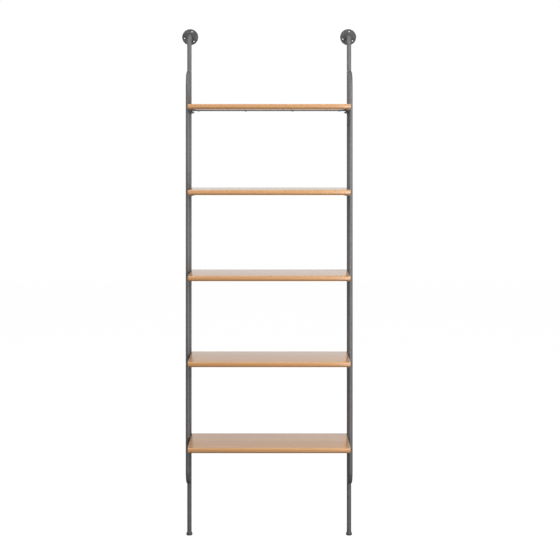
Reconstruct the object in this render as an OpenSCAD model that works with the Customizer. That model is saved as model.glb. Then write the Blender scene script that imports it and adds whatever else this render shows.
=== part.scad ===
// Ladder shelf: two narrow ladders of bent steel tube, screwed to a wall and
// standing on the floor, with five wooden boards held between them.
// X runs across, the wall is the plane y = 0, the front faces -Y and the floor is z = 0.

/* [Uprights] */
// Distance between the centres of the two uprights
upright_spacing = 690; // [560:5:900]
// Outer diameter of the steel tube
tube_d = 19; // [18:0.5:22]
// Wall thickness of the tube
tube_wall = 1.5; // [1:0.1:2]
// Distance from the wall to the centre of the upright
wall_gap = 55; // [52:1:80]
// Height of the wall flange's centre
flange_z = 2156; // [2120:1:2300]
// Centre-line radius of the elbow at the top of the upright
elbow_r = 32; // [28:1:34]

/* [Front rails] */
// Distance from the upright to the front rail, centre to centre
rail_offset = 93; // [85:1:105]
// Height at which the rail's lower end meets the upright
rail_low = 241; // [160:1:260]
// Height at which the rail's upper end meets the upright
rail_high = 1997; // [1990:1:2030]
// Centre-line radius of the rail's two bends
rail_bend_r = 62; // [45:1:70]

/* [Boards] */
// Number of boards
board_count = 5; // [2:1:5]
// Height of the lowest board's top face
first_board = 447; // [420:1:470]
// Height from one board to the next
board_pitch = 352; // [320:1:355]
// Depth of a board, back edge to front edge
board_d = 255; // [240:1:300]
// Thickness of a board
board_t = 21; // [18:0.5:25]
// Radius of the upper long edges
board_edge_r = 4.5; // [2:0.5:6]
// Width of the bevel along the lower long edges
board_bevel = 6.5; // [4:0.5:8]
// Radius of the board's corners, seen from above
board_corner_r = 6; // [5:0.5:12]
// Gap between a board's end and the tubes beside it
end_gap = 1.5; // [1.2:0.1:3]
// Distance from the upright's centre to a board's back edge
back_gap = 30; // [26:1:34]

/* [Board arms] */
// Thickness of the arm's steel
arm_t = 3; // [2.5:0.5:3.5]
// Width of the ledge that the board lies on
ledge_w = 25; // [22:1:35]
// Height of the arm's side at the tubes
side_h = 13.5; // [13.5:0.5:18]
// Distance from a board's front edge to the arm's front end
arm_setback = 30; // [20:1:60]
// Depth of the stiffener bar under the board's back edge
bar_w = 20; // [14:1:24]

/* [Wall flanges] */
// Diameter of the flange
flange_d = 70; // [66:1:90]
// Thickness of the flange's plate
flange_t = 5; // [4.5:0.5:6]
// Diameter of the circle of screw holes
hole_circle_d = 50; // [48:1:54]
// Diameter of a screw hole
wall_hole_d = 5.5; // [4.5:0.5:6]
// Direction of the left flange's first hole, from +X towards +Z
left_turn = 72; // [0:1:119]
// Direction of the right flange's first hole, from +X towards +Z
right_turn = 80; // [0:1:119]

/* [Levelling feet] */
// Diameter of the foot at the floor
foot_d = 26; // [24:0.5:32]
// Height of the foot when it is screwed right in
foot_h = 24; // [22:1:30]
// Diameter of the threaded stem
stem_d = 8; // [6:1:8]
// Length by which the foot can be screwed out
foot_travel = 12; // [6:1:14]

/* [Hidden] */
$fn = 48;
LEFT = -1;
RIGHT = 1;
SIDES = [LEFT, RIGHT];
EPS = 0.01;

steel_colour = "dimgray";
zinc_colour = "silver";
wood_colour = "burlywood";
rubber_colour = "black";

// tubes
tube_r = tube_d / 2;
bore_r = tube_r - tube_wall;
post_x = upright_spacing / 2;
post_y = -wall_gap;
rail_y = post_y - rail_offset;
tube_fit = 0.03;

// wall flange: the tube's end turns in the boss and stops short of its floor
boss_r = tube_r + 4;
boss_h = 15;
turn_fit = 0.05;
tube_end_y = -(flange_t + 0.3);
plug_l = 14;
flange_screw_r = 3;
flange_screw_l = 16;
flange_screw_head_r = 5.6;
flange_screw_head_h = 2.6;
head_clearance = 0.35;
countersink_d = 2.4;

// boards
board_l = upright_spacing - tube_d - 2 * end_gap;
board_back = post_y - back_gap;
board_front = board_back - board_d;
board_end_r = 3;

// arms, given for the left side, where +X runs inwards from the upright's centre
arm_face = tube_r + 1;
arm_front = board_front + arm_setback;
arm_back = post_y + 5;
taper_start = rail_y - 14;
bar_back = board_back - board_bevel - 1;
bar_front = bar_back - bar_w;
ledge_back = bar_front - 2;
ledge_corner_r = 8;
bar_half_l = post_x - arm_face - arm_t - 0.2;
bar_corner_r = 3;

// studs and nuts that hold the arms to the tubes
stud_r = 2.5;
stud_fit = 0.02;
stud_hole_r = 2.75;
stud_drop = 8.2;
stud_end = tube_r + 12.5;
collar_r = 5.5;
washer_r = 4.8;
washer_t = 1;
nut_af = 8;
nut_h = 4;

// wood screws that hold the boards
screw_r = 2;
screw_hole_r = 2.2;
screw_head_r = 4;
screw_head_h = 2.4;
screw_l = 17;
arm_screw_x = arm_face + 16;
arm_screw_ys = [rail_y - 34, arm_front + 22];
bar_screw_xs = [-0.45, -0.15, 0.15, 0.45];

// feet
stem_r = stem_d / 2;
stem_fit = 0.03;
seam = 0.3;
tube_foot_z = foot_h + seam;
insert_l = 22;
stem_top = foot_h + insert_l + foot_travel;
pad_r = foot_d / 2 - 1;
pad_t = 3;
pad_proud = 1.5;
rim_h = 9;
flare_top = 18;

BOARDS = [1 : board_count];

// Height of a board's underside; board 1 is the lowest
function under(i) = first_board + (i - 1) * board_pitch - board_t;

// Puts a left-hand shape, drawn inwards along +X, on the side asked for
module on_side(side) {
    translate([side * post_x, 0, 0])
        mirror([side == RIGHT ? 1 : 0, 0, 0])
            children();
}

// Turns a shape drawn along +Z to run along -Y, from the wall towards the room
module from_wall() {
    rotate([90, 0, 0]) children();
}

// Turns an outline drawn in (y, z) into a sheet that is thick along +X
module sheet_yz(thick) {
    rotate([90, 0, 90]) linear_extrude(thick) children();
}

module ring(outer, inner) {
    difference() {
        circle(outer);
        circle(inner);
    }
}

module round_rect(w, h, r) {
    square([w - 2 * r, h], center = true);
    square([w, h - 2 * r], center = true);
    for (x = [-1, 1], y = [-1, 1])
        translate([x * (w / 2 - r), y * (h / 2 - r)]) circle(r);
}

// A quarter bend in the (y, z) plane from the end of an upright stretch at the origin,
// curving towards +Y and leaving level; way is 1 for a bend at the top, -1 at the bottom
module bend(radius, outer, inner, way) {
    mirror([0, 0, way < 0 ? 1 : 0])
        translate([0, radius, 0])
            rotate([0, -90, 0])
                rotate([0, 0, -90])
                    rotate_extrude(angle = 90, $fn = 96)
                        translate([radius, 0]) ring(outer, inner);
}

module upright(side) {
    elbow_z = flange_z - elbow_r;
    color(steel_colour) on_side(side) {
        translate([0, post_y, tube_foot_z])
            linear_extrude(elbow_z - tube_foot_z) ring(tube_r, bore_r);
        translate([0, post_y, elbow_z]) bend(elbow_r, tube_r, bore_r, 1);
        translate([0, tube_end_y, flange_z])
            from_wall() linear_extrude(wall_gap - elbow_r + tube_end_y) ring(tube_r, bore_r);
    }
}

module front_rail(side) {
    low = rail_low + rail_bend_r;
    high = rail_high - rail_bend_r;
    stub = rail_offset - rail_bend_r;
    color(steel_colour) on_side(side) difference() {
        union() {
            translate([0, rail_y, low]) linear_extrude(high - low) ring(tube_r, bore_r);
            translate([0, rail_y, high]) bend(rail_bend_r, tube_r, bore_r, 1);
            translate([0, rail_y, low]) bend(rail_bend_r, tube_r, bore_r, -1);
            for (z = [rail_low, rail_high])
                translate([0, post_y, z]) from_wall() linear_extrude(stub) ring(tube_r, bore_r);
        }
        // the ends are coped to sit on the upright
        translate([0, post_y, 0]) cylinder(h = flange_z, r = tube_r);
    }
}

module end_plug(side) {
    color(zinc_colour) on_side(side)
        translate([0, tube_end_y, flange_z])
            from_wall() difference() {
                cylinder(h = plug_l, r = bore_r - tube_fit);
                translate([0, 0, -EPS]) cylinder(h = plug_l + 2 * EPS, r = flange_screw_r);
            }
}

// Countersunk screw that keeps the flange on the tube but lets it turn
module flange_screw(side) {
    color(zinc_colour) on_side(side)
        translate([0, 0, flange_z])
            from_wall() difference() {
                union() {
                    translate([0, 0, 0.2])
                        cylinder(h = flange_screw_head_h, r1 = flange_screw_head_r, r2 = flange_screw_r);
                    cylinder(h = flange_screw_l, r = flange_screw_r - stud_fit);
                }
                translate([0, 0, -EPS]) cylinder(h = 1.8, r = 1.9, $fn = 6);
            }
}

module flange_profile() {
    nose = 2.5;
    fillet = 4;
    square([flange_d / 2 - nose, flange_t]);
    square([flange_d / 2, flange_t - nose]);
    translate([flange_d / 2 - nose, flange_t - nose]) circle(nose);
    square([boss_r - 1, boss_h]);
    square([boss_r, boss_h - 1]);
    translate([boss_r - 1, boss_h - 1]) circle(1);
    difference() {
        square([boss_r + fillet, flange_t + fillet]);
        translate([boss_r + fillet, flange_t + fillet]) circle(fillet);
    }
}

module wall_flange(side, turn) {
    color(steel_colour) translate([side * post_x, 0, flange_z]) from_wall() difference() {
        rotate_extrude($fn = 96) flange_profile();
        translate([0, 0, flange_t]) cylinder(h = boss_h, r = tube_r + turn_fit);
        translate([0, 0, -EPS]) cylinder(h = flange_t + 2 * EPS, r = flange_screw_r + head_clearance);
        translate([0, 0, -EPS])
            cylinder(
                h = flange_screw_head_h + head_clearance,
                r1 = flange_screw_head_r + head_clearance,
                r2 = flange_screw_r + head_clearance
            );
        for (k = [0 : 2]) rotate(turn + k * 120) translate([hole_circle_d / 2, 0, 0]) {
            translate([0, 0, -EPS]) cylinder(h = flange_t + 2 * EPS, d = wall_hole_d);
            translate([0, 0, flange_t - countersink_d])
                cylinder(h = countersink_d + EPS, d1 = wall_hole_d, d2 = wall_hole_d + 2 * countersink_d);
        }
    }
}

// Side of an arm, deepest at the tubes and tapering to the ledge at its front
module arm_side() {
    polygon([
        [arm_back, 0],
        [arm_back, -side_h],
        [taper_start, -side_h],
        [arm_front, -arm_t],
        [arm_front, 0]
    ]);
    translate([arm_back, -side_h / 2]) circle(side_h / 2);
}

module ledge() {
    difference() {
        translate([0, arm_front]) square([ledge_w, ledge_back - arm_front]);
        translate([ledge_w - ledge_corner_r, arm_front]) difference() {
            square(ledge_corner_r);
            translate([0, ledge_corner_r]) circle(ledge_corner_r);
        }
    }
}

module arm(i, side) {
    color(steel_colour) on_side(side) translate([arm_face, 0, under(i)]) difference() {
        union() {
            sheet_yz(arm_t) arm_side();
            translate([0, 0, -arm_t]) linear_extrude(arm_t) ledge();
        }
        for (y = [post_y, rail_y])
            translate([-EPS, y, -stud_drop])
                rotate([0, 90, 0]) cylinder(h = arm_t + 2 * EPS, r = stud_hole_r);
        for (y = arm_screw_ys)
            translate([arm_screw_x - arm_face, y, -arm_t - EPS])
                cylinder(h = arm_t + 2 * EPS, r = screw_hole_r);
    }
}

// Runs its children at every place where an arm is fixed to a tube, with +Z inwards
module at_studs() {
    for (side = SIDES, i = BOARDS, y = [post_y, rail_y])
        on_side(side) translate([0, y, under(i) - stud_drop]) rotate([0, 90, 0]) children();
}

module arm_studs() {
    point = 0.8;
    color(zinc_colour) at_studs() difference() {
        union() {
            cylinder(h = arm_face, r = collar_r);
            cylinder(h = stud_end - point, r = stud_r - stud_fit);
            translate([0, 0, stud_end - point])
                cylinder(h = point, r1 = stud_r - stud_fit, r2 = stud_r - point);
        }
        rotate([0, 90, 0]) cylinder(h = 4 * collar_r, r = tube_r, center = true);
    }
}

module arm_washers() {
    color(zinc_colour) at_studs()
        translate([0, 0, arm_face + arm_t]) linear_extrude(washer_t) ring(washer_r, stud_hole_r);
}

module arm_nuts() {
    color(zinc_colour) at_studs()
        translate([0, 0, arm_face + arm_t + washer_t]) difference() {
            rotate(30) cylinder(h = nut_h, d = nut_af / cos(30), $fn = 6);
            translate([0, 0, -EPS]) cylinder(h = nut_h + 2 * EPS, r = stud_r);
        }
}

// Pan-head wood screw that points up, with the head's flat face at the origin
module wood_screw() {
    tip = 4;
    cylinder(h = screw_l - tip, r = screw_r);
    translate([0, 0, screw_l - tip]) cylinder(h = tip, r1 = screw_r, r2 = 0.3);
    translate([0, 0, -0.8]) cylinder(h = 0.8, r = screw_head_r);
    translate([0, 0, -screw_head_h])
        cylinder(h = screw_head_h - 0.8, r1 = screw_head_r - 1.6, r2 = screw_head_r);
}

module arm_screws() {
    color(zinc_colour) for (side = SIDES, i = BOARDS, y = arm_screw_ys)
        on_side(side) translate([arm_screw_x, y, under(i) - arm_t]) wood_screw();
}

module bar_screws() {
    color(zinc_colour) for (i = BOARDS, x = bar_screw_xs)
        translate([x * board_l, bar_back - bar_w / 2, under(i) - arm_t]) wood_screw();
}

module stiffener_bar(i) {
    color(steel_colour) translate([0, bar_back - bar_w / 2, under(i) - arm_t]) difference() {
        linear_extrude(arm_t) round_rect(2 * bar_half_l, bar_w, bar_corner_r);
        for (x = bar_screw_xs)
            translate([x * board_l, 0, -EPS]) cylinder(h = arm_t + 2 * EPS, r = screw_hole_r);
    }
}

// Cross-section of a board: rounded above and bevelled below
module board_section() {
    half_d = board_d / 2;
    half_t = board_t / 2;
    intersection() {
        round_rect(board_d, board_t, board_edge_r);
        polygon([
            [-half_d, half_t],
            [half_d, half_t],
            [half_d, board_bevel - half_t],
            [half_d - board_bevel, -half_t],
            [board_bevel - half_d, -half_t],
            [-half_d, board_bevel - half_t],
        ]);
    }
}

// A board: three outlines, one along each axis, meet in its shape
module board(i) {
    color(wood_colour) translate([0, board_back - board_d / 2, under(i) + board_t / 2]) intersection() {
        translate([-board_l / 2, 0, 0]) sheet_yz(board_l) board_section();
        translate([0, board_d / 2, 0])
            from_wall() linear_extrude(board_d) round_rect(board_l, board_t, board_end_r);
        translate([0, 0, -board_t / 2])
            linear_extrude(board_t) round_rect(board_l, board_d, board_corner_r);
    }
}

module at_foot(side) {
    translate([side * post_x, post_y, 0]) children();
}

module foot_insert(side) {
    color(zinc_colour) at_foot(side) translate([0, 0, tube_foot_z]) difference() {
        cylinder(h = insert_l, r = bore_r - tube_fit);
        translate([0, 0, -EPS]) cylinder(h = insert_l + 2 * EPS, r = stem_r);
    }
}

// Outline of the foot: a straight neck that flares in a hollow curve to a short rim
module foot_profile() {
    rim_r = foot_d / 2;
    sweep_r = rim_r - tube_r;
    translate([0, pad_proud]) square([rim_r, rim_h - pad_proud]);
    translate([0, pad_proud]) square([tube_r, foot_h - pad_proud - 1]);
    square_top = foot_h - 1;
    translate([0, square_top]) square([tube_r - 1, 1]);
    translate([tube_r - 1, square_top]) circle(1);
    difference() {
        translate([0, rim_h]) square([rim_r, flare_top - rim_h]);
        translate([rim_r, flare_top]) scale([sweep_r, flare_top - rim_h]) circle(1, $fn = 96);
    }
}

module foot(side) {
    color(steel_colour) at_foot(side) difference() {
        rotate_extrude($fn = 96) foot_profile();
        translate([0, 0, -EPS]) cylinder(h = pad_t + EPS, r = pad_r);
        translate([0, 0, foot_h / 2]) cylinder(h = foot_h, r = stem_r - stem_fit);
    }
}

module foot_stem(side) {
    color(zinc_colour) at_foot(side)
        translate([0, 0, foot_h / 2]) cylinder(h = stem_top - foot_h / 2, r = stem_r - stem_fit);
}

module foot_pad(side) {
    color(rubber_colour) at_foot(side) cylinder(h = pad_t, r = pad_r - stem_fit);
}

upright(LEFT);  // left_upright
upright(RIGHT);  // right_upright
front_rail(LEFT);  // left_front_rail
front_rail(RIGHT);  // right_front_rail
end_plug(LEFT);  // left_end_plug
end_plug(RIGHT);  // right_end_plug
flange_screw(LEFT);  // left_flange_screw
flange_screw(RIGHT);  // right_flange_screw
wall_flange(LEFT, left_turn);  // left_wall_flange
wall_flange(RIGHT, right_turn);  // right_wall_flange
for (i = BOARDS) {
    arm(i, LEFT);
    arm(i, RIGHT);
    board(i);
    stiffener_bar(i);
}
arm_studs();
arm_washers();
arm_nuts();
arm_screws();
bar_screws();
foot_insert(LEFT);  // left_foot_insert
foot_insert(RIGHT);  // right_foot_insert
foot(LEFT);  // left_foot
foot(RIGHT);  // right_foot
foot_stem(LEFT);  // left_foot_stem
foot_stem(RIGHT);  // right_foot_stem
foot_pad(LEFT);  // left_foot_pad
foot_pad(RIGHT);  // right_foot_pad
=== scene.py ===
"""Looks of a wall-mounted ladder shelf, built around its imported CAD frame.

Two narrow ladders of bent steel tube hold five lacquered boards. Everything is in metres:
X runs across, the wall is the plane y = 0, the front faces -Y and the floor is z = 0.
"""

import math
import random

import bmesh
import bpy
from mathutils import Matrix, Vector


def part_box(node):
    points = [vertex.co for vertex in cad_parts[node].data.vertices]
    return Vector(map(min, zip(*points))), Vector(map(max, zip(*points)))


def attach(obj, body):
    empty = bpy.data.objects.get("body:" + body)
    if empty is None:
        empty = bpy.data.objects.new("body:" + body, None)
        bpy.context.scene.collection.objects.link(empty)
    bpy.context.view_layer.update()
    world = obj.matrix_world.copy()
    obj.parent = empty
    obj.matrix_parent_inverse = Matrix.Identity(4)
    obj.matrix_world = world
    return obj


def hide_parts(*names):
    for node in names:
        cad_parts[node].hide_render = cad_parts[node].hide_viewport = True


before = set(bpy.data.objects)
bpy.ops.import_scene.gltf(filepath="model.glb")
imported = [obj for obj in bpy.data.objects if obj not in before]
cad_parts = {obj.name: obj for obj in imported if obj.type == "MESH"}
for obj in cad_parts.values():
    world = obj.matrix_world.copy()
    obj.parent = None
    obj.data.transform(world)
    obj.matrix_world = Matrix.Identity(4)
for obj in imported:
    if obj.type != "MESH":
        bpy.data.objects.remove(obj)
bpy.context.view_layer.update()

# ---------------------------------------------------------------- sizes read from the frame

MM = 0.001
SIDES = {"left": -1, "right": 1}
LEVELS = range(1, 6)

upright_lo, upright_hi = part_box("right_upright")
rail_lo, rail_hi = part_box("right_front_rail")
foot_lo, foot_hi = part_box("right_foot")
stem_lo, stem_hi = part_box("right_foot_stem")
pad_lo, pad_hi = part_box("right_foot_pad")

TUBE_R = (upright_hi.x - upright_lo.x) / 2
TUBE_WALL = 1.5 * MM
TUBE_BORE_R = TUBE_R - TUBE_WALL
TUBE_EDGE_R = 0.3 * MM
POST_X = (upright_hi.x + upright_lo.x) / 2
POST_Y = upright_lo.y + TUBE_R
FLANGE_Z = upright_hi.z - TUBE_R
ELBOW_R = 32 * MM
RAIL_Y = rail_lo.y + TUBE_R
RAIL_LOW = rail_lo.z + TUBE_R
RAIL_HIGH = rail_hi.z - TUBE_R
RAIL_BEND_R = 62 * MM

BOARD_EDGE_R = 4.5 * MM
BOARD_END_R = 3 * MM
BOARD_BEVEL = 6.5 * MM
BOARD_BEVEL_R = 1.5 * MM
BOARD_CORNER_R = 6 * MM
board_lo, board_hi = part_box("board_1")
BOARD_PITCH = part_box("board_2")[1].z - board_hi.z
BOARD_LOW = board_lo.z
BOARD_BACK = board_hi.y
BOARD_MID_Y = (board_lo.y + board_hi.y) / 2
BOARD_HALF_D = (board_hi.y - board_lo.y) / 2
BOARD_HALF_L = board_hi.x
STAVE_W = 42.5 * MM

ARM_FACE = TUBE_R + 1 * MM
ARM_T = 3 * MM
STUD_DROP = 8.2 * MM
STUD_R = 2.5 * MM
STUD_END = TUBE_R + 12.5 * MM
WASHER_T = 1 * MM
NUT_H = 4 * MM
NUT_ACROSS_FLATS = 8 * MM
ARM_SCREW_X = POST_X - ARM_FACE - 16 * MM
ARM_SCREW_YS = (RAIL_Y - 34 * MM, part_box("left_arm_1")[0].y + 22 * MM)
BAR_SCREW_Y = (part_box("stiffener_bar_1")[0].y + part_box("stiffener_bar_1")[1].y) / 2
BAR_SCREW_FRACTIONS = (-0.45, -0.15, 0.15, 0.45)

FOOT_NECK_H = foot_hi.z
FOOT_RIM_R = (foot_hi.x - foot_lo.x) / 2
FOOT_RIM_H = 9 * MM
FOOT_FLARE_TOP = 18 * MM
STEM_R = (stem_hi.x - stem_lo.x) / 2
PAD_R = (pad_hi.x - pad_lo.x) / 2


# ---------------------------------------------------------------- mesh tools

SHARP_ANGLE = math.radians(32)
TUBE_STEPS = 56


class Shape:
    """The points and faces of one piece, added part by part."""

    def __init__(self):
        self.points = []
        self.faces = []

    def skin(self, rings, loop=False, caps=False):
        """Joins closed rings of equally many points by quads; loop also joins the last to the first."""
        start = len(self.points)
        count = len(rings[0])
        for ring in rings:
            self.points.extend(ring)
        for row in range(len(rings) if loop else len(rings) - 1):
            here = start + row * count
            there = start + (row + 1) % len(rings) * count
            for k in range(count):
                after = (k + 1) % count
                self.faces.append((here + k, here + after, there + after, there + k))
        if caps:
            last = start + (len(rings) - 1) * count
            self.faces.append(tuple(range(start, start + count)))
            self.faces.append(tuple(range(last, last + count)))


def piece(name, shape, material, body, slot, *replaced):
    """Makes a shape into an object that rides on a body and stands for the CAD nodes named."""
    mesh = bpy.data.meshes.new(name)
    mesh.from_pydata(shape.points, [], shape.faces)
    grown = bmesh.new()
    grown.from_mesh(mesh)
    bmesh.ops.remove_doubles(grown, verts=grown.verts, dist=1e-6)
    bmesh.ops.dissolve_degenerate(grown, edges=grown.edges, dist=1e-7)
    bmesh.ops.recalc_face_normals(grown, faces=grown.faces)
    grown.to_mesh(mesh)
    grown.free()
    mesh.shade_smooth()
    mesh.set_sharp_from_angle(angle=SHARP_ANGLE)
    mesh.materials.append(material)
    obj = bpy.data.objects.new(name, mesh)
    bpy.context.scene.collection.objects.link(obj)
    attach(obj, body)
    if replaced:
        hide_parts(*replaced)
    return obj


def along(origin, direction):
    """A place whose +Z axis points along direction."""
    turn = Vector((0, 0, 1)).rotation_difference(Vector(direction)).to_matrix().to_4x4()
    return Matrix.Translation(origin) @ turn


def ring(place, radius, height, steps):
    """A ring around a place's +Z axis; radius and height are numbers or functions of the angle."""
    points = []
    for k in range(steps):
        angle = 2 * math.pi * k / steps
        r = radius(angle) if callable(radius) else radius
        h = height(angle) if callable(height) else height
        points.append(place @ Vector((r * math.cos(angle), r * math.sin(angle), h)))
    return points


def lathe(shape, profile, place, steps=48, loop=False):
    """Turns a profile of (radius, height) around a place's +Z axis."""
    shape.skin([ring(place, r, h, steps) for r, h in profile], loop=loop)


def arc(centre, radius, start, stop, steps):
    """Points of a plane arc, with angles in degrees."""
    turned = []
    for k in range(steps + 1):
        angle = math.radians(start + (stop - start) * k / steps)
        turned.append((centre[0] + radius * math.cos(angle), centre[1] + radius * math.sin(angle)))
    return turned


def thread(shape, place, radius, pitch, start, stop, steps=24):
    """A screw thread with an open start and a chamfered, closed end."""
    rows_per_turn = 8
    depth = 0.55 * pitch
    chamfer = 0.9 * pitch
    rows = int((stop - start) / pitch * rows_per_turn)
    rings = []
    for row in range(rows + 1):
        height = start + (stop - start) * row / rows
        limit = radius - max(0.0, height - (stop - chamfer)) * 0.8

        def crest(angle, height=height, limit=limit):
            phase = (height / pitch - angle / (2 * math.pi)) % 1.0
            return min(limit, radius - depth * abs(2 * phase - 1) ** 0.8)

        rings.append(ring(place, crest, height, steps))
    rings.append(ring(place, 0.0, stop, steps))
    shape.skin([ring(place, 0.0, start, steps)] + rings)


# ---------------------------------------------------------------- material tools


def new_material(name):
    material = bpy.data.materials.new(name)
    material.use_nodes = True
    material.node_tree.nodes.clear()
    return material


def add(tree, kind, settings=None, **inputs):
    """Adds a node. Inputs are named with _ for a space; a socket is linked, a value is set."""
    made = tree.nodes.new(kind)
    for key, value in (settings or {}).items():
        setattr(made, key, value)
    for key, value in inputs.items():
        connect(tree, made.inputs[key.replace("_", " ")], value)
    return made


def connect(tree, socket, value):
    if isinstance(value, bpy.types.NodeSocket):
        tree.links.new(value, socket)
    else:
        socket.default_value = value


def maths(tree, operation, *values):
    made = tree.nodes.new("ShaderNodeMath")
    made.operation = operation
    for socket, value in zip(made.inputs, values):
        connect(tree, socket, value)
    return made.outputs[0]


def mixed(tree, factor, first, second):
    """Mixes two colours."""
    made = tree.nodes.new("ShaderNodeMix")
    made.data_type = "RGBA"
    made.clamp_factor = True
    connect(tree, made.inputs[0], factor)
    connect(tree, made.inputs[6], first)
    connect(tree, made.inputs[7], second)
    return made.outputs[2]


def ranged(tree, value, low, high, to_low=0.0, to_high=1.0, smooth=True):
    """Maps a value from low..high to to_low..to_high."""
    made = tree.nodes.new("ShaderNodeMapRange")
    made.interpolation_type = "SMOOTHSTEP" if smooth else "LINEAR"
    for socket, number in zip(made.inputs[1:5], (low, high, to_low, to_high)):
        socket.default_value = number
    connect(tree, made.inputs[0], value)
    return made.outputs[0]


def noise(tree, vector, scale, detail=3.0, roughness=0.5):
    made = add(
        tree, "ShaderNodeTexNoise", Vector=vector, Scale=scale, Detail=detail, Roughness=roughness
    )
    return made.outputs[0]


def stretched(tree, vector, scale):
    made = add(tree, "ShaderNodeMapping", Vector=vector, Scale=scale)
    return made.outputs[0]


def bumped(tree, height, distance, strength):
    made = add(tree, "ShaderNodeBump", Height=height, Distance=distance, Strength=strength)
    return made.outputs[0]


def new_surface(name):
    """An empty material, its node tree and the place on the object, in metres."""
    material = new_material(name)
    tree = material.node_tree
    return material, tree, tree.nodes.new("ShaderNodeTexCoord").outputs["Object"]


def finish_material(material, shader):
    tree = material.node_tree
    output = tree.nodes.new("ShaderNodeOutputMaterial")
    tree.links.new(shader.outputs[0], output.inputs["Surface"])
    return material


# ---------------------------------------------------------------- materials

WOOD_LIGHT = (0.800, 0.435, 0.180, 1)
WOOD_MIDDLE = (0.730, 0.380, 0.148, 1)
WOOD_DARK = (0.660, 0.325, 0.115, 1)
WOOD_RING = (0.560, 0.255, 0.085, 1)
WOOD_PORE = (0.300, 0.150, 0.065, 1)
WOOD_GLUE = (0.220, 0.110, 0.050, 1)
# darkest wood tone: end grain, plus painted shade on the board ends beside the tubes and on the lower
# bevels
WOOD_CUT_AND_SHADE = (0.200, 0.095, 0.038, 1)
RING_W = 3.4 * MM
HEART_SPACING = (0.17, 0.23, 1)


def stave_number(tree, y):
    """Counts staves from a board's back edge; the fraction is the place within a stave."""
    return maths(tree, "DIVIDE", maths(tree, "SUBTRACT", BOARD_BACK, y), STAVE_W)


def stave_rolls(tree, y, z):
    """Three random values that are the same all over one stave of one board."""
    stave = maths(tree, "FLOOR", stave_number(tree, y))
    level = maths(tree, "FLOOR", maths(tree, "DIVIDE", z, BOARD_PITCH))
    key = add(tree, "ShaderNodeCombineXYZ", X=stave, Y=level, Z=0.37)
    dice = add(tree, "ShaderNodeTexWhiteNoise", {"noise_dimensions": "3D"}, Vector=key.outputs[0])
    return add(tree, "ShaderNodeSeparateColor", Color=dice.outputs["Color"]).outputs


def late_wood(tree, place, axes, rolls):
    """The dark part of each growth ring, which runs round a tilted heart line outside its stave."""
    x, y, z = axes
    wander = noise(tree, stretched(tree, place, (1.6, 14, 14)), 1.0, 2.0)
    slope = maths(tree, "MULTIPLY", maths(tree, "SUBTRACT", rolls[0], 0.5), 0.05)
    across = maths(tree, "ADD", y, maths(tree, "MULTIPLY", x, slope))
    across = maths(tree, "ADD", across, maths(tree, "MULTIPLY", rolls[1], 0.12))
    rise = maths(tree, "ADD", z, maths(tree, "MULTIPLY", rolls[2], 0.17))
    heart = add(tree, "ShaderNodeCombineXYZ", X=across, Y=rise, Z=0.0)
    cells = add(tree, "ShaderNodeVectorMath", {"operation": "MODULO"})
    connect(tree, cells.inputs[0], heart.outputs[0])
    cells.inputs[1].default_value = HEART_SPACING
    radius = add(tree, "ShaderNodeVectorMath", {"operation": "LENGTH"})
    connect(tree, radius.inputs[0], cells.outputs[0])
    grown = maths(tree, "ADD", radius.outputs["Value"], maths(tree, "MULTIPLY", wander, 0.012))
    season = maths(tree, "FRACT", maths(tree, "DIVIDE", grown, RING_W))
    return maths(tree, "MULTIPLY", ranged(tree, season, 0.35, 0.85), ranged(tree, season, 0.99, 0.9))


def glue_line(tree, y):
    """1 on the fine line between two staves."""
    in_stave = maths(tree, "FRACT", stave_number(tree, y))
    from_middle = maths(tree, "ABSOLUTE", maths(tree, "SUBTRACT", in_stave, 0.5))
    return ranged(tree, from_middle, 0.494, 0.499)


def end_grain_and_shade(tree, x):
    """1 on a board's two ends, where end grain shows and where painted shade stands in for the shadow
    beside the tubes.
    """
    return ranged(tree, maths(tree, "ABSOLUTE", x), BOARD_HALF_L - BOARD_END_R, BOARD_HALF_L - 1 * MM)


def bevel_painted_shade(tree, y, z):
    """1 on the lower bevels, which get painted shade. The slack keeps an underside from wrapping round to
    the board below.
    """
    slack = 0.5 * MM
    above_base = maths(tree, "MODULO", maths(tree, "SUBTRACT", z, BOARD_LOW - slack), BOARD_PITCH)
    off_centre = maths(tree, "ABSOLUTE", maths(tree, "SUBTRACT", y, BOARD_MID_Y))
    inset = maths(tree, "SUBTRACT", BOARD_HALF_D, off_centre)
    reach = maths(tree, "ADD", above_base, inset)
    bevel_top = BOARD_BEVEL + slack
    return ranged(tree, reach, bevel_top + 0.2 * MM, bevel_top + 1 * MM, 1.0, 0.0)


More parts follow.
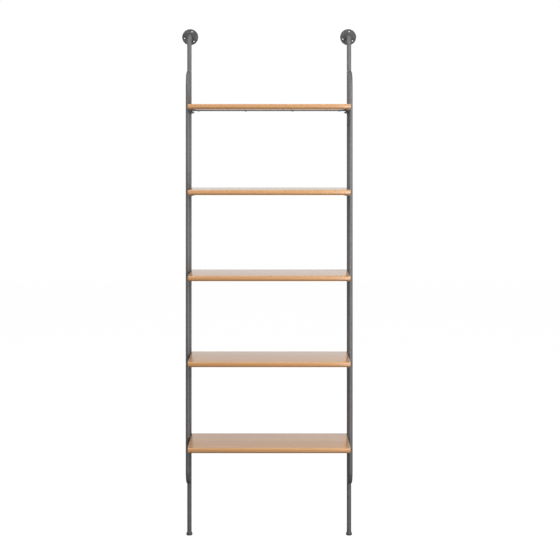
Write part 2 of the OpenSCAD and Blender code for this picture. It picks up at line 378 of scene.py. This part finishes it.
def wood():
    """Satin-lacquered boards of long edge-glued staves, with the grain along X."""
    material, tree, place = new_surface("lacquered_wood")
    axes = add(tree, "ShaderNodeSeparateXYZ", Vector=place).outputs
    x, y, z = axes
    rolls = stave_rolls(tree, y, z)
    rings = late_wood(tree, place, axes, rolls)
    fibres = noise(tree, stretched(tree, place, (5, 420, 420)), 1.0, 4.0, 0.6)
    pores = noise(tree, stretched(tree, place, (55, 1500, 1500)), 1.0, 2.0)
    pores = ranged(tree, pores, 0.60, 0.70)
    glue = glue_line(tree, y)

    tone = mixed(tree, rolls[0], WOOD_LIGHT, WOOD_DARK)
    tone = mixed(tree, 0.45, tone, WOOD_MIDDLE)
    tone = mixed(tree, maths(tree, "MULTIPLY", rings, 0.42), tone, WOOD_RING)
    tone = mixed(tree, ranged(tree, fibres, 0.35, 0.75, 0.0, 0.35), tone, WOOD_DARK)
    tone = mixed(tree, maths(tree, "MULTIPLY", pores, 0.4), tone, WOOD_PORE)
    tone = mixed(tree, maths(tree, "MULTIPLY", glue, 0.35), tone, WOOD_GLUE)

    # end grain turns darker under lacquer, and is darkened further here as painted shade beside the tubes
    tone = mixed(tree, maths(tree, "MULTIPLY", end_grain_and_shade(tree, x), 0.75), tone, WOOD_CUT_AND_SHADE)
    # painted shade on the lower bevels, which face down and away from the light
    tone = mixed(tree, maths(tree, "MULTIPLY", bevel_painted_shade(tree, y, z), 0.45), tone, WOOD_CUT_AND_SHADE)

    height = maths(tree, "SUBTRACT", fibres, maths(tree, "MULTIPLY", pores, 0.5))
    height = maths(tree, "SUBTRACT", height, maths(tree, "MULTIPLY", glue, 0.5))
    shader = add(
        tree,
        "ShaderNodeBsdfPrincipled",
        Base_Color=tone,
        Roughness=ranged(tree, fibres, 0.3, 0.8, 0.40, 0.55, smooth=False),
        IOR=1.45,
        Coat_Weight=1.0,
        Coat_Roughness=0.15,
        Normal=bumped(tree, height, 0.06 * MM, 0.6),
    )
    return finish_material(material, shader)


def coated_steel(name, shade, mottle):
    """Satin grey coating: fine orange peel, soft blotches and a few paler rubbed specks."""
    material, tree, place = new_surface(name)
    blotches = noise(tree, place, 46.0, 4.0, 0.6)
    grain = noise(tree, place, 950.0, 3.0, 0.6)
    specks = ranged(tree, noise(tree, place, 1700.0, 1.0), 0.66, 0.74)

    low = tuple(c * (1 - mottle) for c in shade) + (1,)
    high = tuple(c * (1 + mottle) for c in shade) + (1,)
    pale = tuple(c * 1.9 for c in shade) + (1,)
    colour = mixed(tree, ranged(tree, blotches, 0.32, 0.68), low, high)
    colour = mixed(tree, ranged(tree, grain, 0.3, 0.7, 0.0, 0.3), colour, low)
    colour = mixed(tree, maths(tree, "MULTIPLY", specks, 0.4), colour, pale)
    height = maths(tree, "ADD", grain, maths(tree, "MULTIPLY", blotches, 1.5))
    shader = add(
        tree,
        "ShaderNodeBsdfPrincipled",
        Base_Color=colour,
        Metallic=0.5,
        Roughness=ranged(tree, blotches, 0.3, 0.7, 0.50, 0.62, smooth=False),
        Normal=bumped(tree, height, 0.08 * MM, 0.5),
    )
    return finish_material(material, shader)


def zinc_plate():
    """Dull zinc plating with fine turning marks and cloudy patches."""
    material, tree, place = new_surface("zinc_plate")
    clouds = noise(tree, place, 320.0, 3.0, 0.6)
    marks = noise(tree, stretched(tree, place, (2600, 900, 900)), 1.0, 2.0)
    dull, bright = (0.36, 0.36, 0.35, 1), (0.56, 0.56, 0.57, 1)
    colour = mixed(tree, ranged(tree, clouds, 0.3, 0.7), dull, bright)
    shader = add(
        tree,
        "ShaderNodeBsdfPrincipled",
        Base_Color=colour,
        Metallic=1.0,
        Roughness=ranged(tree, clouds, 0.3, 0.7, 0.28, 0.45, smooth=False),
        Normal=bumped(tree, marks, 0.02 * MM, 0.5),
    )
    return finish_material(material, shader)


def rubber():
    """Matt black rubber, dusty in patches and finely grained."""
    material, tree, place = new_surface("rubber")
    dust = noise(tree, place, 180.0, 4.0, 0.6)
    grain = noise(tree, place, 2400.0, 2.0)
    clean, dusty = (0.022, 0.022, 0.022, 1), (0.055, 0.053, 0.05, 1)
    colour = mixed(tree, ranged(tree, dust, 0.45, 0.75), clean, dusty)
    shader = add(
        tree,
        "ShaderNodeBsdfPrincipled",
        Base_Color=colour,
        Roughness=ranged(tree, dust, 0.3, 0.7, 0.62, 0.85, smooth=False),
        Normal=bumped(tree, grain, 0.05 * MM, 0.6),
    )
    return finish_material(material, shader)


WOOD = wood()
STEEL = coated_steel("coated_steel", (0.160, 0.161, 0.162), 0.07)
FLANGE_STEEL = coated_steel("flange_steel", (0.094, 0.095, 0.096), 0.30)
FOOT_STEEL = coated_steel("foot_steel", (0.134, 0.135, 0.136), 0.14)
# ground weld metal, made pale partly as a painted highlight where the rails meet the uprights
WELD_AND_HIGHLIGHT_STEEL = coated_steel("ground_weld_and_highlight", (0.480, 0.480, 0.475), 0.15)
ZINC = zinc_plate()
RUBBER = rubber()


# ---------------------------------------------------------------- tubes


def tube_ring(x, station, radius, coped=False):
    """A ring around a tube in the plane of x. A station is (y, z, heading), the heading being
    its angle from +Y towards +Z; a coped ring lies on the upright's surface."""
    y, z, heading = station
    out = Vector((0, -math.sin(heading), math.cos(heading)))
    points = []
    for k in range(TUBE_STEPS):
        angle = 2 * math.pi * k / TUBE_STEPS
        offset = Vector((radius * math.cos(angle), 0, 0)) + out * (radius * math.sin(angle))
        point = Vector((x, y, z)) + offset
        if coped:
            point.y = POST_Y - math.sqrt(max(TUBE_R**2 - offset.x**2, 0.0))
        points.append(point)
    return points


def bend(centre, radius, start, stop, steps):
    """Stations along a bend that turns clockwise in the (y, z) plane; angles in degrees."""
    turned = []
    for k in range(steps + 1):
        angle = math.radians(start + (stop - start) * k / steps)
        y = centre[0] + radius * math.cos(angle)
        z = centre[1] + radius * math.sin(angle)
        turned.append((y, z, angle - math.pi / 2))
    return turned


def moved(station, distance):
    y, z, heading = station
    return (y + distance * math.cos(heading), z + distance * math.sin(heading), heading)


def upright(side):
    """One tube from above the foot to the wall flange, its cut ends slightly rounded."""
    sign = SIDES[side]
    lo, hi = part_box(f"{side}_upright")
    elbow_z = FLANGE_Z - ELBOW_R
    bottom = (POST_Y, lo.z, math.pi / 2)
    wall_end = (hi.y, FLANGE_Z, 0.0)
    path = bend((POST_Y + ELBOW_R, elbow_z), ELBOW_R, 180, 90, 20)
    x = sign * POST_X
    outer = [tube_ring(x, bottom, TUBE_R - TUBE_EDGE_R)]
    outer += [tube_ring(x, moved(bottom, TUBE_EDGE_R), TUBE_R)]
    outer += [tube_ring(x, station, TUBE_R) for station in path]
    outer += [tube_ring(x, moved(wall_end, -TUBE_EDGE_R), TUBE_R)]
    outer += [tube_ring(x, wall_end, TUBE_R - TUBE_EDGE_R)]
    inner = [tube_ring(x, wall_end, TUBE_BORE_R)]
    inner += [tube_ring(x, station, TUBE_BORE_R) for station in reversed(path)]
    inner += [tube_ring(x, bottom, TUBE_BORE_R)]
    shape = Shape()
    shape.skin(outer + inner, loop=True)
    piece(f"{side}_post_tube", shape, STEEL, "frame", "steel", f"{side}_upright")


def front_rail(side):
    """The tube in front of the upright, bent back at both ends and coped to fit the upright."""
    x = SIDES[side] * POST_X
    low_bend = bend((RAIL_Y + RAIL_BEND_R, RAIL_LOW + RAIL_BEND_R), RAIL_BEND_R, -90, -180, 20)
    high_bend = bend((RAIL_Y + RAIL_BEND_R, RAIL_HIGH - RAIL_BEND_R), RAIL_BEND_R, 180, 90, 20)
    path = low_bend + high_bend
    ends = ((POST_Y, RAIL_LOW, math.pi), (POST_Y, RAIL_HIGH, 0.0))
    rings = []
    for radius, stations, order in ((TUBE_R, path, ends), (TUBE_BORE_R, path[::-1], ends[::-1])):
        rings.append(tube_ring(x, order[0], radius, coped=True))
        rings += [tube_ring(x, station, radius) for station in stations]
        rings.append(tube_ring(x, order[1], radius, coped=True))
    shape = Shape()
    shape.skin(rings, loop=True)
    piece(f"{side}_rail_tube", shape, STEEL, "frame", "steel", f"{side}_front_rail")


def weld_bead(shape, x, z, rng):
    """A rippled bead round the saddle where a rail's end meets the upright."""
    steps = 240
    ripples = 34
    section = 12
    bead_r = 2.0 * MM
    saddle_r = TUBE_R * 0.97
    jitter = [rng.uniform(-0.3, 0.3) for _ in range(ripples)]
    swell = [rng.uniform(0.9, 1.12) for _ in range(ripples)]
    centres, normals = [], []
    for k in range(steps):
        angle = 2 * math.pi * k / steps
        dx, dz = saddle_r * math.cos(angle), saddle_r * math.sin(angle)
        depth = math.sqrt(max(TUBE_R**2 - dx**2, 0.0))
        from_post = Vector((dx, -depth, 0)) / TUBE_R
        from_rail = Vector((math.cos(angle), 0, math.sin(angle)))
        centres.append(Vector((x + dx, POST_Y - depth, z + dz)))
        normals.append((from_post + from_rail).normalized())
    rings = []
    for k in range(steps):
        tangent = (centres[(k + 1) % steps] - centres[k - 1]).normalized()
        normal = normals[k]
        binormal = tangent.cross(normal).normalized()
        points = []
        for j in range(section):
            turn = 2 * math.pi * j / section
            along_bead = k / steps * ripples - 0.30 * math.cos(turn)
            number = int(along_bead) % ripples
            phase = (along_bead + 0.2 * jitter[number]) % 1.0
            r = bead_r * (1 - 0.45 * abs(math.cos(2 * math.pi * k / steps)) ** 3)
            r *= swell[number] * (0.86 + 0.16 * math.sin(math.pi * phase) ** 0.7)
            points.append(centres[k] + r * (math.cos(turn) * normal + math.sin(turn) * binormal))
        rings.append(points)
    shape.skin(rings, loop=True)


def weld_beads(side):
    rng = random.Random(f"beads {side}")
    shape = Shape()
    for z in (RAIL_LOW, RAIL_HIGH):
        weld_bead(shape, SIDES[side] * POST_X, z, rng)
    # the beads' pale colour is partly a painted highlight
    piece(f"{side}_weld_beads", shape, WELD_AND_HIGHLIGHT_STEEL, "frame", "steel")


# ---------------------------------------------------------------- boards


def board_outline(half_l, half_d, corner_r, z, centre):
    """A level ring with round corners."""
    per_corner = 8
    points = []
    for corner, (sx, sy) in enumerate(((1, 1), (-1, 1), (-1, -1), (1, -1))):
        for k in range(per_corner + 1):
            angle = math.pi / 2 * (corner + k / per_corner)
            px = sx * (half_l - corner_r) + corner_r * math.cos(angle)
            py = sy * (half_d - corner_r) + corner_r * math.sin(angle)
            points.append(Vector((centre.x + px, centre.y + py, z)))
    return points


def board_profile(thickness):
    """Half of a board's cross-section, as (inset from its front, height): bevelled below, round above."""
    reach = BOARD_BEVEL + BOARD_BEVEL_R * math.tan(math.radians(22.5))
    profile = arc((reach, BOARD_BEVEL_R), BOARD_BEVEL_R, 270, 225, 3)
    profile += arc((BOARD_BEVEL_R, reach), BOARD_BEVEL_R, 225, 180, 3)
    profile += arc((BOARD_EDGE_R, thickness - BOARD_EDGE_R), BOARD_EDGE_R, 180, 90, 8)
    return profile


def board(level):
    """A board with rounded upper edges, bevelled lower edges and rounded ends."""
    lo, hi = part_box(f"board_{level}")
    centre = (lo + hi) / 2
    half_l, half_d, thickness = (hi.x - lo.x) / 2, (hi.y - lo.y) / 2, hi.z - lo.z
    rings = []
    for inset, height in board_profile(thickness):
        short = max(0.0, BOARD_END_R - min(height, thickness - height))
        end_inset = BOARD_END_R - math.sqrt(BOARD_END_R**2 - short**2)
        corner = max(BOARD_CORNER_R - inset, 0.4 * MM)
        rings.append(board_outline(half_l - end_inset, half_d - inset, corner, lo.z + height, centre))
    shape = Shape()
    shape.skin(rings, caps=True)
    piece(f"wood_board_{level}", shape, WOOD, "frame", "wood", f"board_{level}")


# ---------------------------------------------------------------- fasteners


def stud_places():
    """Where the arms are fixed to the tubes; +Z runs inwards from the tube's centre."""
    places = []
    for sign in SIDES.values():
        for level in LEVELS:
            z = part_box(f"board_{level}")[0].z - STUD_DROP
            for y in (POST_Y, RAIL_Y):
                places.append(along((sign * POST_X, y, z), (-sign, 0, 0)))
    return places


def studs():
    """Weld studs: a collar on the tube and an M5 thread that ends past the nut."""
    foot_r, collar_r = 5.5 * MM, 5.0 * MM
    thread_start = ARM_FACE + ARM_T + WASHER_T + NUT_H - 0.6 * MM
    steps = 32
    shape = Shape()
    for place in stud_places():
        upward = (place.inverted().to_3x3() @ Vector((0, 0, 1))).normalized()

        def on_tube(angle, upward=upward):
            off_axis = foot_r * (math.cos(angle) * upward.y - math.sin(angle) * upward.x)
            return math.sqrt(TUBE_R**2 - off_axis**2) - 0.05 * MM

        shape.skin(
            [
                ring(place, 0.0, TUBE_BORE_R, steps),
                ring(place, foot_r, on_tube, steps),
                ring(place, foot_r * 0.98, ARM_FACE - 0.35 * MM, steps),
                ring(place, collar_r, ARM_FACE, steps),
                ring(place, STUD_R * 0.9, ARM_FACE, steps),
                ring(place, STUD_R * 0.9, thread_start, steps),
                ring(place, 0.0, thread_start, steps),
            ]
        )
        thread(shape, place, STUD_R, 0.8 * MM, thread_start, STUD_END)
    piece("weld_stud_set", shape, ZINC, "frame", "zinc", "arm_studs")


def washers():
    outer, inner, edge = 4.8 * MM, 2.75 * MM, 0.2 * MM
    low = ARM_FACE + ARM_T
    high = low + WASHER_T
    profile = [(inner, low), (outer - edge, low), (outer, low + edge), (outer, high - edge)]
    profile += [(outer - edge, high), (inner, high)]
    shape = Shape()
    for place in stud_places():
        lathe(shape, profile, place, steps=40, loop=True)
    piece("washer_set", shape, ZINC, "frame", "zinc", "arm_washers")


def nuts():
    """Hexagon nuts, chamfered at both faces."""
    steps = 72
    flat = NUT_ACROSS_FLATS / 2
    face_r = flat * 0.95
    slant = math.tan(math.radians(30))
    low = ARM_FACE + ARM_T + WASHER_T
    high = low + NUT_H
    sixth = math.pi / 3
    shape = Shape()
    for place in stud_places():

        def hexagon(angle):
            return flat / math.cos((angle + sixth / 2) % sixth - sixth / 2)

        def fall(angle):
            return (hexagon(angle) - face_r) * slant

        shape.skin(
            [
                ring(place, STUD_R * 0.97, low, steps),
                ring(place, face_r, low, steps),
                ring(place, hexagon, lambda a: low + fall(a), steps),
                ring(place, hexagon, lambda a: high - fall(a), steps),
                ring(place, face_r, high, steps),
                ring(place, STUD_R * 1.12, high, steps),
                ring(place, STUD_R * 0.97, high - 0.35 * MM, steps),
            ],
            loop=True,
        )
    piece("hex_nut_set", shape, ZINC, "frame", "zinc", "arm_nuts")


def wood_screw(shape, x, y, z, turn):
    """A pan-head screw that points up, with a cross recess in its head."""
    steps = 64
    head_r, head_h = 4.0 * MM, 2.4 * MM
    blade_l, blade_w = 2.1 * MM, 0.55 * MM
    shank_r, shank_l = 1.9 * MM, 15 * MM
    place = Matrix.Translation((x, y, z)) @ Matrix.Rotation(turn, 4, "Z")

    def cross(angle):
        c, s = abs(math.cos(angle)) + 1e-9, abs(math.sin(angle)) + 1e-9
        return max(min(blade_w / s, blade_l / c), min(blade_w / c, blade_l / s))

    def dome(r):
        return -head_h * (1 - 0.62 * (r / head_r) ** 3)

    rings = [ring(place, 0.0, shank_l, steps), ring(place, shank_r * 0.4, shank_l - 1.5 * MM, steps)]
    rings += [ring(place, shank_r, shank_l - 4 * MM, steps), ring(place, shank_r, 0.0, steps)]
    rings += [ring(place, head_r * 0.97, 0.0, steps), ring(place, head_r, -0.25 * MM, steps)]
    for k in range(7):
        r = head_r * (1 - 0.06 * k)
        rings.append(ring(place, r, dome(r), steps))
    rings.append(ring(place, lambda a: cross(a) * 1.06, lambda a: dome(cross(a)), steps))
    rings.append(ring(place, lambda a: cross(a) * 0.94, lambda a: dome(cross(a)) + 0.25 * MM, steps))
    rings.append(ring(place, lambda a: cross(a) * 0.55, -head_h + 1.1 * MM, steps))
    rings.append(ring(place, 0.0, -head_h + 1.5 * MM, steps))
    shape.skin(rings)


def wood_screws():
    rng = random.Random("screws")
    arm_screws, bar_screws = Shape(), Shape()
    for level in LEVELS:
        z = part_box(f"board_{level}")[0].z - ARM_T
        for sign in SIDES.values():
            for y in ARM_SCREW_YS:
                wood_screw(arm_screws, sign * ARM_SCREW_X, y, z, rng.uniform(0, math.pi))
        lo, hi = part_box(f"board_{level}")
        for fraction in BAR_SCREW_FRACTIONS:
            wood_screw(bar_screws, fraction * (hi.x - lo.x), BAR_SCREW_Y, z, rng.uniform(0, math.pi))
    piece("arm_screw_set", arm_screws, ZINC, "frame", "zinc", "arm_screws")
    piece("bar_screw_set", bar_screws, ZINC, "frame", "zinc", "bar_screws")


# ---------------------------------------------------------------- feet


def foot(side):
    """The bell, its M8 stem and its rubber pad, which all move with the leveller."""
    body = f"{side}_leveller"
    floor = Matrix.Translation((SIDES[side] * POST_X, POST_Y, 0))
    edge = 0.8 * MM
    rim_low = foot_lo.z
    flare_r = FOOT_RIM_R - TUBE_R
    flare_h = FOOT_FLARE_TOP - FOOT_RIM_H

    profile = [(0, FOOT_NECK_H - 3 * MM), (STEM_R * 0.9, FOOT_NECK_H - 3 * MM), (STEM_R, FOOT_NECK_H)]
    profile += arc((TUBE_R - edge, FOOT_NECK_H - edge), edge, 90, 0, 5)
    for k in range(17):
        turn = math.pi / 2 * k / 16
        r = FOOT_RIM_R - flare_r * math.cos(turn)
        profile.append((r, FOOT_FLARE_TOP - flare_h * math.sin(turn)))
    profile += arc((FOOT_RIM_R - 0.4 * MM, rim_low + 0.4 * MM), 0.4 * MM, 0, -90, 4)
    profile += [(PAD_R + 0.05 * MM, rim_low), (PAD_R + 0.05 * MM, pad_hi.z), (0, pad_hi.z)]
    bell = Shape()
    lathe(bell, profile, floor, steps=72)
    piece(f"{side}_foot_bell", bell, FOOT_STEEL, body, "foot_steel", f"{side}_foot")

    stem = Shape()
    thread(stem, floor, STEM_R, 1.25 * MM, FOOT_NECK_H - 4 * MM, stem_hi.z, steps=32)
    piece(f"{side}_threaded_stem", stem, ZINC, body, "zinc", f"{side}_foot_stem")

    groove = 0.5 * MM
    under = [(0, 0), (3 * MM, 0)]
    for r in (3.6 * MM, 6.6 * MM, 9.4 * MM):
        under += [(r, groove), (r + 0.6 * MM, groove), (r + 1.2 * MM, 0), (r + 1.7 * MM, 0)]
    profile = under[:-1] + arc((PAD_R - 0.4 * MM, 0.4 * MM), 0.4 * MM, -90, 0, 4)
    profile += [(PAD_R, pad_hi.z), (0, pad_hi.z)]
    pad = Shape()
    lathe(pad, profile, floor, steps=64)
    piece(f"{side}_rubber_pad", pad, RUBBER, body, "rubber", f"{side}_foot_pad")


# ---------------------------------------------------------------- carried-over CAD nodes


def dress(name, material, edge=None):
    """Gives a CAD node its material and, where asked, softly broken edges."""
    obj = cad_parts[name]
    obj.material_slots[0].material = material
    if edge is None:
        return
    weld = obj.modifiers.new("weld", "WELD")
    weld.merge_threshold = 0.01 * MM
    flatten = obj.modifiers.new("flatten", "DECIMATE")
    flatten.decimate_type = "DISSOLVE"
    flatten.angle_limit = math.radians(1)
    soften = obj.modifiers.new("soften", "BEVEL")
    soften.width = edge
    soften.segments = 3
    soften.limit_method = "ANGLE"
    soften.angle_limit = math.radians(40)
    soften.harden_normals = True


# ---------------------------------------------------------------- light, floor and camera

CAMERA_HEIGHT = 1.720
CAMERA_DISTANCE = 4.9
CAMERA_LENS = 77.08
CAMERA_SHIFT = (0.0193, -0.2554)


def studio_world():
    """White all round; what lights the object is brightest in front of it, near the horizon."""
    world = bpy.data.worlds.new("studio")
    bpy.context.scene.world = world
    world.use_nodes = True
    tree = world.node_tree
    tree.nodes.clear()
    direction = tree.nodes.new("ShaderNodeTexCoord").outputs["Generated"]
    axes = add(tree, "ShaderNodeSeparateXYZ", Vector=direction)
    y, height = axes.outputs["Y"], axes.outputs["Z"]
    above = ranged(tree, height, 0.1, 0.75, 1.0, 0.25)
    below = ranged(tree, height, -0.30, 0.0, 0.10, 1.0)
    front_to_back = ranged(tree, y, -0.4, 0.6, 1.0, 0.84)
    light = maths(tree, "MULTIPLY", maths(tree, "MULTIPLY", below, above), front_to_back)
    seen = tree.nodes.new("ShaderNodeLightPath").outputs["Is Camera Ray"]
    strength = maths(tree, "MAXIMUM", seen, light)
    sky = add(tree, "ShaderNodeBackground", Color=(1, 1, 1, 1), Strength=strength)
    output = tree.nodes.new("ShaderNodeOutputWorld")
    tree.links.new(sky.outputs[0], output.inputs["Surface"])


def studio_floor():
    """A plain floor that looks almost white and throws little light back up."""
    half = 9.0
    shape = Shape()
    corners = ((-half, -half), (half, -half), (half, half), (-half, half))
    shape.points = [Vector((x, y, 0)) for x, y in corners]
    shape.faces = [(0, 1, 2, 3)]
    material = new_material("pale_floor")
    tree = material.node_tree
    seen = tree.nodes.new("ShaderNodeLightPath").outputs["Is Camera Ray"]
    matt = add(tree, "ShaderNodeBsdfDiffuse", Color=(0.16, 0.16, 0.16, 1))
    strength = maths(tree, "MULTIPLY", seen, 0.93)
    glow = add(tree, "ShaderNodeEmission", Color=(1, 1, 1, 1), Strength=strength)
    both = tree.nodes.new("ShaderNodeAddShader")
    tree.links.new(matt.outputs[0], both.inputs[0])
    tree.links.new(glow.outputs[0], both.inputs[1])
    finish_material(material, both)
    mesh = bpy.data.meshes.new("studio_floor")
    mesh.from_pydata(shape.points, [], shape.faces)
    mesh.materials.append(material)
    floor = bpy.data.objects.new("studio_floor", mesh)
    bpy.context.scene.collection.objects.link(floor)


def soft_light(name, size, power, origin, target):
    lamp = bpy.data.lights.new(name, "AREA")
    lamp.shape = "RECTANGLE"
    lamp.size, lamp.size_y = size
    lamp.energy = power
    holder = bpy.data.objects.new(name, lamp)
    holder.location = origin
    aim = Vector(target) - Vector(origin)
    holder.rotation_euler = aim.to_track_quat("-Z", "Y").to_euler()
    bpy.context.scene.collection.objects.link(holder)


def photo_camera():
    """A level camera in front of the shelf, shifted down as in an architectural view."""
    lens = bpy.data.cameras.new("camera")
    lens.lens = CAMERA_LENS
    lens.sensor_width = 36
    lens.shift_x, lens.shift_y = CAMERA_SHIFT
    camera = bpy.data.objects.new("camera", lens)
    camera.location = (0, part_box("board_1")[0].y - CAMERA_DISTANCE, CAMERA_HEIGHT)
    camera.rotation_euler = (math.pi / 2, 0, 0)
    bpy.context.scene.collection.objects.link(camera)
    bpy.context.scene.camera = camera


# ---------------------------------------------------------------- everything in place

for side in SIDES:
    upright(side)
    front_rail(side)
    weld_beads(side)
    foot(side)
    dress(f"{side}_wall_flange", FLANGE_STEEL)
    dress(f"{side}_end_plug", ZINC)
    dress(f"{side}_flange_screw", ZINC)
    dress(f"{side}_foot_insert", ZINC)
    for level in LEVELS:
        dress(f"{side}_arm_{level}", STEEL, edge=0.5 * MM)
for level in LEVELS:
    board(level)
    dress(f"stiffener_bar_{level}", STEEL, edge=0.4 * MM)
studs()
washers()
nuts()
wood_screws()

photo_camera()
studio_world()
studio_floor()
soft_light("fill", (0.8, 2.0), 32, (1.0, -2.3, 0.95), (0.1, -0.2, 0.7))
soft_light("key", (1.2, 1.2), 17, (-1.2, -1.9, 3.0), (0, -0.1, 1.8))
soft_light("side", (0.5, 0.7), 8, (1.5, -1.0, 1.85), (0.35, -0.1, 1.7))
soft_light("top", (2.4, 1.2), 12, (0, -0.35, 3.3), (0, -0.1, 2.1))
bpy.context.scene.view_settings.view_transform = "Standard"
